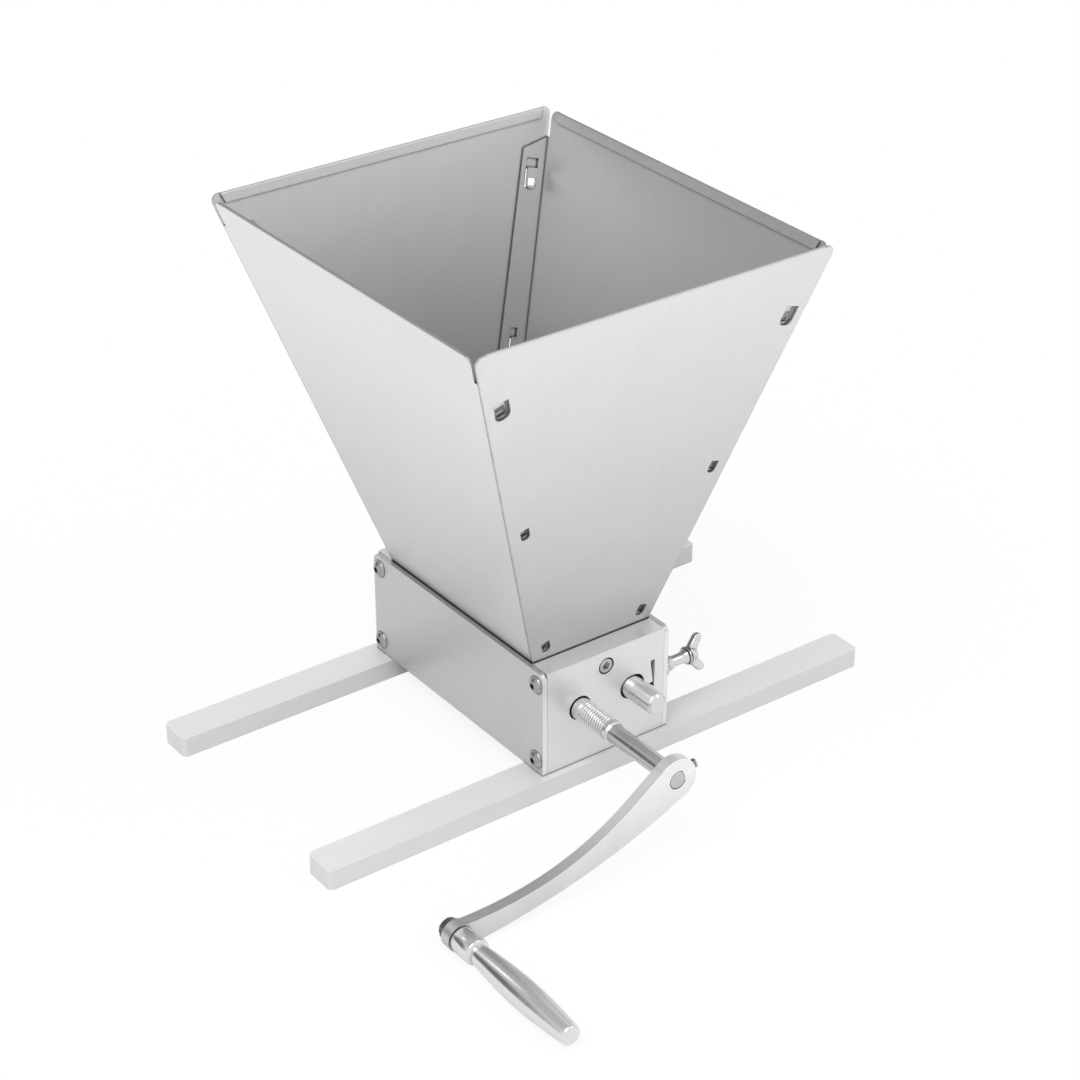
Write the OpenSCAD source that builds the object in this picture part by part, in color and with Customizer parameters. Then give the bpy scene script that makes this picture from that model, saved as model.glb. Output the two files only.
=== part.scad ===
// Hand cranked grain mill: two grooved rollers between thick end plates,
// a four panel sheet metal hopper on top and two long bars that lie across a bucket.
// The rollers lie along Y, the crank is at the front (-Y), and the bars lie along X.
// The origin is on the table plane, below the middle of the milling gap.

/* [Body] */
// Length of the body along the rollers
body_l = 152; // [140:1:200]
// Width of the body across both side plates
body_w = 80; // [78:1:110]
// Height of the end plates and side plates
body_h = 60; // [56:1:80]
// Thickness of an end plate
end_t = 12.5; // [12:0.5:20]
// Thickness of a side plate
side_t = 3; // [2:0.5:5]
// Radius at the upper corners of a side plate
side_corner_r = 4; // [1:0.5:8]

/* [Base bars] */
// Length of a base bar
bar_l = 340; // [240:5:500]
// Width of a base bar
bar_w = 20; // [16:1:30]
// Height of a base bar
bar_h = 11; // [8:1:20]
// Radius at the upright corners of a bar
bar_corner_r = 3; // [0.5:0.5:6]
// How far a bar stands out in front of its end plate
bar_proud = 4; // [0:1:5]

/* [Rollers] */
// Outer diameter of a roller
roller_d = 32; // [28:0.5:34]
// Milling gap between the rollers, as stored
roller_gap = 1; // [0.8:0.1:2]
// How far the gap can be closed from there
travel_in = 0.6; // [0.1:0.1:0.7]
// How far the gap can be opened from there
travel_out = 1.5; // [0.5:0.1:2]
// Room between a roller's end and the end plate
roller_end_gap = 2; // [1.5:0.5:4]
// Number of grooves round a roller
groove_n = 48; // [24:4:72]
// Depth of a groove
groove_depth = 0.8; // [0.4:0.1:1.2]
// Diameter of the roller shafts
shaft_d = 12; // [10:0.5:14]
// Height of the roller axes above the foot of the end plates
axis_h = 32.5; // [28:0.5:36]
// Radial running clearance of a shaft in its bush
run_gap = 0.05; // [0.02:0.01:0.1]

/* [Drive end] */
// How far the drive shaft stands out in front of the end plate
drive_out = 78.5; // [70:0.5:120]
// Where the thread on the drive shaft starts, from the end plate
thread_from = 4.5; // [2:0.5:10]
// Length of that thread
thread_l = 21; // [10:0.5:30]
// Pitch of that thread
thread_pitch = 1.75; // [1:0.25:2]
// Diameter of the drive shaft where the crank or a drill holds it
drive_end_d = 10; // [8:0.5:11.5]
// Depth of the flat on that end
drive_flat = 1.2; // [0.5:0.1:2]
// How far the stub of the adjustable roller stands out
stub_out = 21.5; // [5:0.5:40]

/* [Bushes and bearing blocks] */
// Outer diameter of the bushes of the drive roller
bush_d = 18; // [16:0.5:20]
// Thickness left in an end plate outside a bearing pocket
skin_t = 2; // [1.5:0.1:2.5]
// Width and height of a bearing block
block_w = 20; // [18:0.5:22]
// Sliding clearance round a bearing block
slide_gap = 0.1; // [0.05:0.05:0.2]
// Outer diameter of the thrust washers
washer_d = 19; // [16:0.5:19.5]

/* [Wing screws] */
// Diameter of the gap screws
wing_screw_d = 6; // [5:0.5:6.5]
// Length of the shank outside the side plate, up to the wings
wing_reach = 17; // [14:0.5:30]
// Span across the wings
wing_span = 21; // [16:0.5:30]
// Thickness of a wing
wing_t = 3; // [2:0.5:5]
// Diameter of the flared bush that guides a gap screw
guide_d = 12.5; // [11:0.5:16]
// How far that bush stands out of the side plate
guide_out = 6.5; // [5:0.5:8]

/* [Fasteners] */
// Diameter of the screws in plates, bars and hopper
screw_d = 5; // [4:0.5:5.5]
// Head diameter of a button head screw
button_d = 10; // [8:0.5:10.5]
// Head height of a button head screw
button_h = 2.8; // [2:0.1:3.5]
// Distance of the side plate screws from the plate's ends
screw_inset = 5.5; // [5:0.5:7]
// Height between the two rows of side plate screws
screw_rows = 44.6; // [40:0.1:46]
// Head diameter of the cap screws that hold the hopper
cap_d = 7.8; // [7:0.2:8.6]
// Counterbore diameter for those heads
cap_bore_d = 9.4; // [9:0.2:11]

/* [Hopper] */
// Sheet thickness
sheet = 1; // [0.8:0.1:1.5]
// Height of the rim above the body
hopper_h = 208; // [120:1:260]
// Width at the rim, from left to right
hopper_rim_w = 210; // [160:1:260]
// Depth at the rim, from front to rear
hopper_rim_l = 228; // [180:1:280]
// Depth of the folded hem at the rim
hem = 5.5; // [4:0.5:10]
// Radius at the upper corners of a panel
panel_corner_r = 4; // [2:0.5:8]
// How far the side panels are cut back above their flanges, so that the sheet can be folded
corner_relief = 2.4; // [0.5:0.1:4]
// Width of the flanges on the left and right panels
flange_w = 17; // [15:0.5:22]
// How far the hopper reaches down into the body
skirt = 9; // [6:0.5:9.5]
// Clearance between the hopper and the body
hopper_gap = 0.35; // [0.2:0.05:0.6]

/* [Crank and handle] */
// Distance from the drive shaft to the handle
crank_r = 133.5; // [100:0.5:160]
// How far the middle of the arm bows down
arm_bow = 18; // [12:0.5:24]
// Thickness of the crank arm
arm_t = 6; // [4:0.5:8]
// Diameter of the crank's hub
hub_d = 24.4; // [20:0.2:28]
// Diameter of the crank's boss at the handle
boss_d = 14.6; // [13:0.2:20]
// Length of the grip
grip_l = 85.5; // [60:0.5:110]
// Largest diameter of the grip
grip_d = 14.6; // [13:0.2:16]
// Diameter of the grip's collar
collar_d = 13.4; // [12:0.2:16]
// Length of the grip's collar
collar_l = 13; // [8:0.5:20]
// Diameter of the pin inside the grip
pin_d = 5; // [4:0.5:6]

/* [Hidden] */
$fn = 64;
eps = 0.01;
body_z0 = bar_h;
body_z1 = bar_h + body_h;
axis_z = body_z0 + axis_h;
end_y0 = body_l/2 - end_t;
end_y1 = body_l/2;
inner_w = body_w - 2*side_t;
roller_x = (roller_d + roller_gap)/2;
roller_l = 2*(end_y0 - roller_end_gap);
bar_y = end_y1 + bar_proud - bar_w/2;
shaft_hole_d = shaft_d + 1.2;
pocket_deep = end_t - skin_t;
// the shafts stop a little inside the rear end plate's outer face
rear_end_y = end_y1 - 1;

// the gap screws and the base bar screws run along the middle of an end plate
wing_y = (end_y0 + end_y1)/2;

// Side plate screws and base bar screws
screw_gap = 0.05;
screw_l = 12;
screw_y = end_y1 - screw_inset;
screw_z = [body_z0 + body_h/2 - screw_rows/2, body_z0 + body_h/2 + screw_rows/2];
base_screw_x = 20;
base_screw_y = wing_y;
base_screw_l = 12;
csk_d = 9;
csk_h = 2.5;

// Bearing blocks slide in pockets, and the head of a wing screw sits in a slot in each one
block_t = pocket_deep - 2*slide_gap;
block_y = end_y0 + pocket_deep/2;
pocket_x0 = roller_x - block_w/2 - travel_in - 2*slide_gap;
pocket_x1 = roller_x + block_w/2 + travel_out + 2*slide_gap;
pocket_h = block_w + 2*slide_gap;
catch_d = 6.6;
catch_t = 1.3;
catch_x0 = roller_x + shaft_d/2 + 1.2;
catch_gap = 0.2;
catch_neck_d = 4.4;
thread_gap = 0.05;
guide_spigot_d = wing_screw_d + 2.4;
wing_collar_r = 4.7;

// Relief slit above the wing screw: round at the top, narrow at its foot
slit_x = 30;
slit_top = 9.6;
slit_foot = -2.2;
slit_top_d = 2.8;
slit_foot_w = 0.7;
slit_notch = 3;
slit_shift = 0.7;

// Hopper
hop_x0 = inner_w/2 - hopper_gap;
hop_y0 = end_y0 - hopper_gap;
hop_x1 = hopper_rim_w/2;
hop_y1 = hopper_rim_l/2;
lean_f = atan((hop_y1 - hop_y0)/hopper_h);
lean_s = atan((hop_x1 - hop_x0)/hopper_h);
len_f = hopper_h/cos(lean_f);
// how far the slanting sides of the front panel lean, in its own plane
edge_lean = atan((hop_x1 - hop_x0)/len_f);
sheet_gap = 0.15;
fold_overlap = 0.4;
flange_from = 4;
flange_to = hopper_h - 15.5;
side_rim_drop = 1.5;
corner_steps = 6;
// Lanced tabs: height above the body, width and height of each hole, and whether it has a window
big_tab_w = 8.2;
big_tab_h = 11;
small_tab_w = 5;
small_tab_h = 7;
low_tab_up = 8.2;
tab_rows = [
    [hopper_h*0.832, big_tab_w, big_tab_h, true],
    [hopper_h*0.4375, small_tab_w, small_tab_h, false],
    [low_tab_up, small_tab_w, small_tab_h, false]
];
tab_in = 9.4;
tab_behind = 2*sheet + sheet_gap + 0.35;
hopper_screw_up = 18.6;
hopper_screw_z = axis_z + hopper_screw_up;
hopper_tab_w = 20;
hopper_tab_deep = 14;
cap_h = 5;
cap_deep = 5.3;
hopper_screw_l = 18;
nut_af = 8;
nut_h = 4;
lip_drop = 4.2;
lip_in = 4.6;

// Crank: as it is put down, its boss rests on the table
table_gap = 0.2;
hub_shift = 1;
crank_drop = asin((axis_z - boss_d/2 - table_gap)/crank_r);
hub_y = -end_y1 - drive_out;
arm_y1 = hub_y + arm_t;
flat_clear = 0.04;
set_screw_d = 5;
pin_x = -roller_x - crank_r*cos(crank_drop);
pin_z = axis_z - crank_r*sin(crank_drop);
grip_gap = 0.5;
pin_head_d = 7.4;
pin_head_in = 6;
crank_nut_h = 3.6;
crank_nut_af = 8;

// A cylinder along Y that starts at y0
module rod_y(x, y0, z, d, l) {
    translate([x, y0, z]) rotate([-90, 0, 0]) cylinder(d = d, h = l);
}

// A cylinder along X that starts at x0
module rod_x(x0, y, z, d, l) {
    translate([x0, y, z]) rotate([0, 90, 0]) cylinder(d = d, h = l);
}

// A straight sided hexagon along Y, for nuts and sockets
module hex_y(x, y0, z, af, l) {
    translate([x, y0, z]) rotate([-90, 0, 0]) cylinder(d = af/cos(30), h = l, $fn = 6);
}

// A rectangle with its corners rounded by arcs
module round_rect(w, h, r) {
    for (sx = [-1, 1], sy = [-1, 1]) translate([sx*(w/2 - r), sy*(h/2 - r)]) circle(r = r);
    square([w, h - 2*r], center = true);
    square([w - 2*r, h], center = true);
}

// Everything for one end is drawn for the front and mirrored for the rear
module at_end(front) {
    if (front) children();
    else mirror([0, 1, 0]) children();
}

// Body

// Slit outline in the plane of the end plate: a drop, then a small hook at its foot
module slit_outline() {
    foot_x0 = slit_x + slit_shift - slit_foot_w/2;
    foot_x1 = slit_x + slit_shift + slit_foot_w/2;
    translate([slit_x, slit_top]) circle(d = slit_top_d, $fn = 32);
    polygon([
        [slit_x - slit_top_d/2, slit_top], [slit_x + slit_top_d/2, slit_top],
        [foot_x1, slit_foot], [foot_x0, slit_foot]
    ]);
    polygon([
        [foot_x1, slit_foot - slit_notch], [foot_x1, slit_foot],
        [foot_x0, slit_foot + 0.3], [foot_x0 - slit_notch + 0.4, slit_foot - 0.6]
    ]);
}

module end_plate(front) {
    color("gainsboro")
    at_end(front) difference() {
        translate([-inner_w/2, -end_y1, body_z0]) cube([inner_w, end_t, body_h]);
        // drive shaft: clearance through the outer skin, bush pocket from inside
        rod_y(-roller_x, -end_y1 - 1, axis_z, shaft_hole_d, end_t + 2);
        rod_y(-roller_x, -end_y0 - pocket_deep, axis_z, bush_d, pocket_deep + 1);
        // adjustable roller: slot through the outer skin, block pocket from inside
        for (x = [roller_x - travel_in, roller_x + travel_out])
            rod_y(x, -end_y1 - 1, axis_z, shaft_hole_d, end_t + 2);
        translate([roller_x - travel_in, -end_y1 - 1, axis_z - shaft_hole_d/2])
            cube([travel_in + travel_out, end_t + 2, shaft_hole_d]);
        translate([pocket_x0, -end_y0 - pocket_deep, axis_z - pocket_h/2])
            cube([pocket_x1 - pocket_x0, pocket_deep + 1, pocket_h]);
        rod_x(roller_x, -wing_y, axis_z, wing_screw_d + 2*thread_gap, inner_w);
        translate([0, -end_y1 - 1, axis_z]) rotate([90, 0, 0]) mirror([0, 0, 1])
            linear_extrude(end_t + 2) slit_outline();
        // cap screw that holds the hopper
        rod_y(0, -end_y1 - 1, hopper_screw_z, screw_d + 2*screw_gap, end_t + 2);
        rod_y(0, -end_y1 - 1, hopper_screw_z, cap_bore_d, cap_deep + 1);
        // tapped holes for the side plates and the base bar
        for (side = [-1, 1], z = screw_z)
            rod_x(side > 0 ? inner_w/2 - screw_l : -inner_w/2 - 1, -screw_y, z,
                  screw_d + 2*screw_gap, screw_l + 1);
        for (side = [-1, 1])
            translate([side*base_screw_x, -base_screw_y, body_z0 - 1])
                cylinder(d = screw_d + 2*screw_gap, h = base_screw_l + 1);
    }
}

module side_plate(side) {
    hole_d = screw_d + 0.5;
    color("gainsboro")
    difference() {
        translate([side > 0 ? inner_w/2 : -body_w/2, 0, body_z0]) rotate([90, 0, 90])
            linear_extrude(side_t) difference() {
                translate([-body_l/2, 0]) square([body_l, body_h]);
                for (end = [-1, 1]) translate([end*(body_l/2 - side_corner_r), body_h - side_corner_r])
                    difference() {
                        translate([end > 0 ? 0 : -side_corner_r - 1, 0])
                            square(side_corner_r + 1);
                        circle(r = side_corner_r);
                    }
            }
        for (y = [-screw_y, screw_y], z = screw_z)
            rod_x(side > 0 ? inner_w/2 - 1 : -body_w/2 - 1, y, z, hole_d, side_t + 2);
        if (side > 0) for (y = [-wing_y, wing_y])
            rod_x(inner_w/2 - 1, y, axis_z, guide_spigot_d + 2*screw_gap, side_t + 2);
    }
}

// Button head screw along +X from its seat at x = 0, head on the far side
module button_screw() {
    socket_af = 3;
    dome_r = (button_d*button_d/4 + button_h*button_h)/(2*button_h);
    difference() {
        union() {
            intersection() {
                translate([-(dome_r - button_h), 0, 0]) rotate([0, 90, 0]) sphere(r = dome_r, $fn = 96);
                rod_x(0, 0, 0, button_d - 0.3, button_h + 1);
            }
            rod_x(-screw_l - side_t + 1, 0, 0, screw_d, screw_l + side_t);
        }
        rotate([0, 90, 0]) translate([0, 0, 1]) cylinder(d = socket_af/cos(30), h = button_h, $fn = 6);
    }
}

module plate_screws(side) {
    color("silver")
    for (y = [-screw_y, screw_y], z = screw_z)
        translate([side*body_w/2, y, z]) rotate([0, 0, side > 0 ? 0 : 180]) button_screw();
}

module base_bar(front) {
    color("whitesmoke")
    at_end(front) difference() {
        translate([0, -bar_y, 0]) linear_extrude(bar_h) round_rect(bar_l, bar_w, bar_corner_r);
        for (side = [-1, 1]) translate([side*base_screw_x, -base_screw_y, 0]) {
            translate([0, 0, -1]) cylinder(d = screw_d + 0.5, h = bar_h + 2);
            translate([0, 0, 0.2 - eps]) cylinder(d1 = csk_d + 0.6, d2 = screw_d + 0.6, h = csk_h);
            translate([0, 0, -1]) cylinder(d = csk_d + 0.6, h = 1.2);
        }
    }
}

module base_bar_screws() {
    socket_af = 3;
    color("silver")
    for (sx = [-1, 1], sy = [-1, 1]) translate([sx*base_screw_x, sy*base_screw_y, 0.4])
        difference() {
            union() {
                cylinder(d1 = csk_d, d2 = screw_d, h = csk_h);
                cylinder(d = screw_d, h = bar_h + base_screw_l - 1.4);
            }
            translate([0, 0, -1]) cylinder(d = socket_af/cos(30), h = 2.6, $fn = 6);
        }
}

// Hopper

// Puts a panel's own plane on the front slope: u to the right, v up the slope, material behind z = 0
module on_front(lean, y0) {
    translate([0, -y0, body_z1]) rotate([90 + lean, 0, 0]) children();
}

// Half outline of a panel with a rounded upper corner, mirrored to both sides
module panel_outline(w0, w1, l, r) {
    beta = atan((w1 - w0)/l);
    cu = w0 + (w1 - w0)*(l - r)/l - r/cos(beta);
    corner = [for (i = [0:corner_steps]) let (a = -beta + i*(90 + beta)/corner_steps)
        [cu + r*cos(a), l - r + r*sin(a)]];
    polygon(concat([[-w0, 0], [w0, 0]], corner,
        [for (i = [corner_steps:-1:0]) [-corner[i][0], corner[i][1]]]));
}

// One sloping sheet with its folded hem, from half width w0 at its foot to w1 at its rim. Above the
// height relief_from, both of its edges are cut back by relief.
module panel_sheet(w0, w1, l, relief = 0, relief_from = 0) {
    beta = atan((w1 - w0)/l);
    fold_w = w1 - relief - panel_corner_r*(1 + sin(beta))/cos(beta) - sheet;
    notch_w = w0 + (w1 - w0)*relief_from/l;
    translate([0, 0, -sheet]) linear_extrude(sheet) difference() {
        union() {
            panel_outline(w0 - relief, w1 - relief, l, panel_corner_r);
            if (relief > 0) polygon([[-w0, 0], [w0, 0], [notch_w, relief_from], [-notch_w, relief_from]]);
        }
        translate([-fold_w, l - sheet]) square([2*fold_w, sheet + 1]);
    }
    translate([0, 0, -2*sheet]) linear_extrude(sheet) polygon([
        [-fold_w + hem*tan(beta), l - hem], [fold_w - hem*tan(beta), l - hem],
        [fold_w, l - sheet], [-fold_w, l - sheet]
    ]);
    translate([-fold_w, l - sheet, -sheet]) rotate([0, 90, 0]) cylinder(r = sheet, h = 2*fold_w, $fn = 32);
}

// Half width of the front and rear panels at a height above the body
function front_edge(h) = hop_x0 + (hop_x1 - hop_x0)*h/hopper_h;

// Places one thing for each lanced tab, at the middle of its hole
module each_tab(lean) {
    for (row = tab_rows, side = [-1, 1])
        translate([side*(front_edge(row[0]) - tab_in), row[0]/cos(lean), 0]) rotate([0, 0, -side*edge_lean]) {
            $tab_w = row[1];
            $tab_h = row[2];
            $tab_window = row[3];
            children();
        }
}

// Hole or tongue outline: square at the top, round at its lower corners
module tab_outline(w, h) {
    r = w*0.42;
    for (side = [-1, 1]) translate([side*(w/2 - r), r - h/2]) circle(r = r, $fn = 32);
    translate([-w/2, r - h/2]) square([w, h - r]);
    translate([r - w/2, -h/2]) square([w - 2*r, h - r]);
}

// Tongue pressed inwards from the top edge of its hole, hooked behind the flange
module tab() {
    slack = 0.8;
    ledge_w = $tab_w - 2*slack;
    inside = 0.1;
    translate([0, 0, -tab_behind - sheet]) linear_extrude(sheet) difference() {
        translate([0, sheet/2 + slack/2]) tab_outline(ledge_w, $tab_h + sheet - slack);
        if ($tab_window) translate([-ledge_w*0.38, -$tab_h*0.28]) square([ledge_w*0.76, $tab_h*0.36]);
    }
    translate([inside - ledge_w/2, $tab_h/2 + inside, -tab_behind - sheet/2])
        cube([ledge_w - 2*inside, sheet - 2*inside, tab_behind]);
}

module hopper_end_panel(front) {
    color("gainsboro")
    rotate([0, 0, front ? 0 : 180]) difference() {
        union() {
            on_front(lean_f, hop_y0) {
                difference() {
                    panel_sheet(hop_x0, hop_x1, len_f);
                    each_tab(lean_f) translate([0, 0, -3*sheet]) linear_extrude(4*sheet)
                        tab_outline($tab_w, $tab_h);
                }
                each_tab(lean_f) tab();
            }
            translate([-hop_x0 + 1.2, -hop_y0, body_z1 - skirt])
                cube([2*hop_x0 - 2.4, sheet, skirt + sheet*sin(lean_f) + fold_overlap]);
            translate([-hopper_tab_w/2, -hop_y0, body_z1 - hopper_tab_deep])
                cube([hopper_tab_w, sheet, hopper_tab_deep]);
        }
        rod_y(0, -hop_y0 - 1, hopper_screw_z, screw_d + 0.5, sheet + 2);
    }
}

// Flange of a side panel, lying inside the front panel's sheet, on the side given by dir
module side_flange(dir) {
    back = 2*sheet + sheet_gap;
    lo = flange_from;
    hi = flange_to;
    inset = 0.35;
    difference() {
        translate([0, 0, -back]) linear_extrude(sheet) scale([dir, 1]) polygon([
            [front_edge(lo) - inset, lo/cos(lean_f)], [front_edge(hi) - inset, hi/cos(lean_f)],
            [front_edge(hi) - flange_w, (hi - 2.5)/cos(lean_f)],
            [front_edge(lo) - flange_w - 1, (lo + 2.5)/cos(lean_f)]
        ]);
        // slots, open above each tongue, so that the flange can be hooked on
        for (row = tab_rows)
            translate([dir*(front_edge(row[0]) - tab_in), row[0]/cos(lean_f), -back - 1])
                rotate([0, 0, -dir*edge_lean]) translate([0.4 - row[1]/2, 1.4 - row[2]/2, 0])
                cube([row[1] - 0.8, row[2] + 4.6, sheet + 2]);
    }
}

module hopper_side_panel(side) {
    shrink = (sheet + sheet_gap)/cos(lean_f);
    inner_y = hop_y0 - sheet - sheet_gap;
    w0 = hop_y0 - shrink;
    side_h = hopper_h - side_rim_drop;
    w1 = hop_y0 + (hop_y1 - hop_y0)*side_h/hopper_h - shrink;
    edge = hop_x0 - sheet;
    color("gainsboro")
    union() {
        rotate([0, 0, 90*side]) on_front(lean_s, hop_x0)
            panel_sheet(w0, w1, side_h/cos(lean_s), corner_relief, flange_to/cos(lean_s));
        for (end = [0, 180]) rotate([0, 0, end])
            on_front(lean_f, hop_y0) side_flange(side*(end == 0 ? 1 : -1));
        // upright skirt inside the side plate, then a lip that keeps grain over the rollers
        translate([side > 0 ? edge : -hop_x0, -inner_y, body_z1 - skirt])
            cube([sheet, 2*inner_y, skirt + sheet*sin(lean_s) + fold_overlap]);
        translate([0, inner_y, 0]) rotate([90, 0, 0]) linear_extrude(2*inner_y) scale([side, 1]) polygon([
            [hop_x0, body_z1 - skirt + 0.6], [hop_x0, body_z1 - skirt],
            [hop_x0 - lip_in, body_z1 - skirt - lip_drop], [hop_x0 - lip_in - 0.7, body_z1 - skirt - lip_drop + 0.7],
            [edge, body_z1 - skirt + 0.4]
        ]);
    }
}

module hopper_screws() {
    socket_af = 4;
    color("silver")
    for (front = [true, false]) at_end(front)
        translate([0, -end_y1 + cap_deep, hopper_screw_z]) difference() {
            union() {
                rod_y(0, -cap_h, 0, cap_d, cap_h);
                rod_y(0, -eps, 0, screw_d, hopper_screw_l - cap_h);
            }
            hex_y(0, -cap_h - 1, 0, socket_af, 3.5);
        }
}

module hopper_nuts() {
    color("silver")
    for (front = [true, false]) at_end(front) difference() {
        hex_y(0, -hop_y0 + sheet, hopper_screw_z, nut_af, nut_h);
        rod_y(0, -end_y1, hopper_screw_z, screw_d + 2*screw_gap, end_t + 10);
    }
}

// Rollers and bearings

module drive_bush(front) {
    color("goldenrod")
    at_end(front) difference() {
        rod_y(-roller_x, -end_y0 - pocket_deep, axis_z, bush_d, pocket_deep);
        rod_y(-roller_x, -end_y1, axis_z, shaft_d + 2*run_gap, end_t + 1);
    }
}

// Barrel with straight V grooves all the way round, along Y and centred
module grooved_barrel() {
    step = 360/groove_n;
    rotate([90, 0, 0]) linear_extrude(roller_l, center = true) polygon([
        for (i = [0:groove_n - 1], k = [0:2]) let (
            r = k == 1 ? roller_d/2 - groove_depth : roller_d/2,
            a = (i + [0.22, 0.5, 0.78][k])*step)
            [r*cos(a), r*sin(a)]
    ]);
}

// Shaft with its flat, thread rings and small end, at the drive axis
module drive_roller() {
    thread_y = -end_y1 - thread_from;
    root = thread_pitch*0.4;
    turns = floor(thread_l/thread_pitch);
    step_y = thread_y - thread_l - 3;
    color("lightgray")
    translate([-roller_x, 0, axis_z]) difference() {
        union() {
            grooved_barrel();
            rod_y(0, thread_y, 0, shaft_d, rear_end_y - thread_y);
            // thread as a row of rings, then a bevelled shoulder
            translate([0, thread_y, 0]) rotate([90, 0, 0]) rotate_extrude() polygon(concat(
                [[0, -eps], [shaft_d/2, -eps]],
                [for (i = [0:turns - 1], k = [0:2])
                    [shaft_d/2 - (k == 1 ? root : 0), (i + [0.1, 0.5, 0.9][k])*thread_pitch]],
                [[shaft_d/2, thread_l + 2], [drive_end_d/2, thread_l + 3], [0, thread_l + 3]]));
            translate([0, hub_y + 0.8, 0]) rotate([-90, 0, 0])
                cylinder(d = drive_end_d, h = step_y - hub_y - 0.8 + eps);
            translate([0, hub_y, 0]) rotate([-90, 0, 0])
                cylinder(d1 = drive_end_d - 1, d2 = drive_end_d, h = 0.8 + eps);
        }
        // flat for the crank's set screw, opposite the arm
        rotate([0, -crank_drop, 0]) translate([drive_end_d/2 - drive_flat, hub_y - 1, -drive_end_d])
            cube([drive_end_d, arm_t + 7, 2*drive_end_d]);
    }
}

module adjustable_roller() {
    bevel = 1.4;
    color("lightgray")
    translate([roller_x, 0, axis_z]) {
        grooved_barrel();
        translate([0, -end_y1 - stub_out, 0]) rotate([-90, 0, 0]) {
            cylinder(d1 = shaft_d - 2*bevel, d2 = shaft_d, h = bevel);
            translate([0, 0, bevel - eps])
                cylinder(d = shaft_d, h = end_y1 + stub_out - bevel + rear_end_y + eps);
        }
    }
}

module thrust_washers(x) {
    washer_gap = 0.15;
    color("goldenrod")
    for (front = [true, false]) at_end(front) difference() {
        rod_y(x, -end_y0 + washer_gap, axis_z, washer_d, roller_end_gap - 2*washer_gap);
        rod_y(x, -end_y1, axis_z, shaft_d + 0.4, end_t + roller_end_gap + 1);
    }
}

module bearing_block(front) {
    color("goldenrod")
    at_end(front) difference() {
        translate([roller_x - block_w/2, -block_y - block_t/2, axis_z - block_w/2])
            cube([block_w, block_t, block_w]);
        rod_y(roller_x, -end_y1, axis_z, shaft_d + 2*run_gap, end_t + 1);
        // slot, open at the top, that holds the head of the wing screw
        translate([catch_x0 - catch_gap, -wing_y - catch_d/2 - catch_gap, axis_z])
            cube([catch_t + 2*catch_gap, catch_d + 2*catch_gap, block_w]);
        rod_x(catch_x0 - catch_gap, -wing_y, axis_z, catch_d + 2*catch_gap, catch_t + 2*catch_gap);
        translate([catch_x0, -wing_y - catch_neck_d/2 - catch_gap, axis_z])
            cube([block_w, catch_neck_d + 2*catch_gap, block_w]);
        rod_x(catch_x0, -wing_y, axis_z, catch_neck_d + 2*catch_gap, block_w);
    }
}

// Wing screws

// Outline of both wings: x away from the mill, y across the span
module wing_outline() {
    tip_r = 1.7;
    tip_x = 7;
    tip_y = wing_span/2 - tip_r;
    for (side = [-1, 1]) scale([1, side]) {
        translate([tip_x, tip_y]) circle(r = tip_r);
        polygon([
            [0, 0], [4.4, 0], [4.4, wing_collar_r*0.62], [tip_x + tip_r*0.35, tip_y - tip_r*1.9],
            [tip_x + tip_r*0.98, tip_y - tip_r*0.2], [tip_x - tip_r*0.6, tip_y + tip_r*0.8],
            [tip_x - tip_r*1.9, tip_y - tip_r*0.9], [0.5, wing_collar_r*0.96], [0, wing_collar_r*0.8]
        ]);
    }
}

module wing_screw(front) {
    shank_x = body_w/2 + wing_reach;
    neck_x = pocket_x1 + 0.2;
    wing_turn = 10.5;
    rim = wing_collar_r;
    color("silver")
    at_end(front) translate([0, -wing_y, axis_z]) {
        rod_x(catch_x0, 0, 0, catch_d, catch_t);
        rod_x(catch_x0, 0, 0, catch_neck_d, neck_x - catch_x0 + eps);
        rod_x(neck_x, 0, 0, wing_screw_d, shank_x - neck_x);
        // cone, two rings and the hub between the wings
        rotate([0, 90, 0]) rotate_extrude() polygon([
            [0, shank_x - 5], [wing_screw_d/2, shank_x - 5], [wing_screw_d/2 + 0.6, shank_x - 2],
            [rim, shank_x], [rim, shank_x + 0.7], [rim - 0.5, shank_x + 0.9],
            [rim - 0.5, shank_x + 1.2], [rim, shank_x + 1.4], [rim, shank_x + 2.2],
            [rim - 0.8, shank_x + 3], [rim - 1.4, shank_x + 5.6], [rim - 2.2, shank_x + 6.2], [0, shank_x + 6.2]
        ]);
        rotate([-wing_turn, 0, 0]) translate([shank_x + 1.6, wing_t/2, 0]) rotate([90, 0, 0])
            linear_extrude(wing_t) wing_outline();
    }
}

// Flared bush, screwed into the side plate, that guides the plain shank
module guide_bush(front) {
    flange_t = 1;
    tip_d = wing_screw_d + 1.8;
    steps = 8;
    flare = [for (i = [0:steps]) let (t = i/steps)
        [tip_d/2 + (guide_d - tip_d)/2*pow(1 - t, 2), flange_t + (guide_out - flange_t)*t]];
    color("silver")
    at_end(front) translate([body_w/2, -wing_y, axis_z]) rotate([0, 90, 0]) difference() {
        rotate_extrude() polygon(concat(
            [[0, -side_t + 0.1], [guide_spigot_d/2, -side_t + 0.1], [guide_spigot_d/2, 0], [guide_d/2, 0]],
            flare, [[0, guide_out]]));
        translate([0, 0, -side_t - 1]) cylinder(d = wing_screw_d + 2*run_gap, h = side_t + guide_out + 2);
    }
}

// Crank

// Point on a cubic curve through four control points
function curve(p, t) = pow(1 - t, 3)*p[0] + 3*t*pow(1 - t, 2)*p[1] + 3*t*t*(1 - t)*p[2] + t*t*t*p[3];

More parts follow.
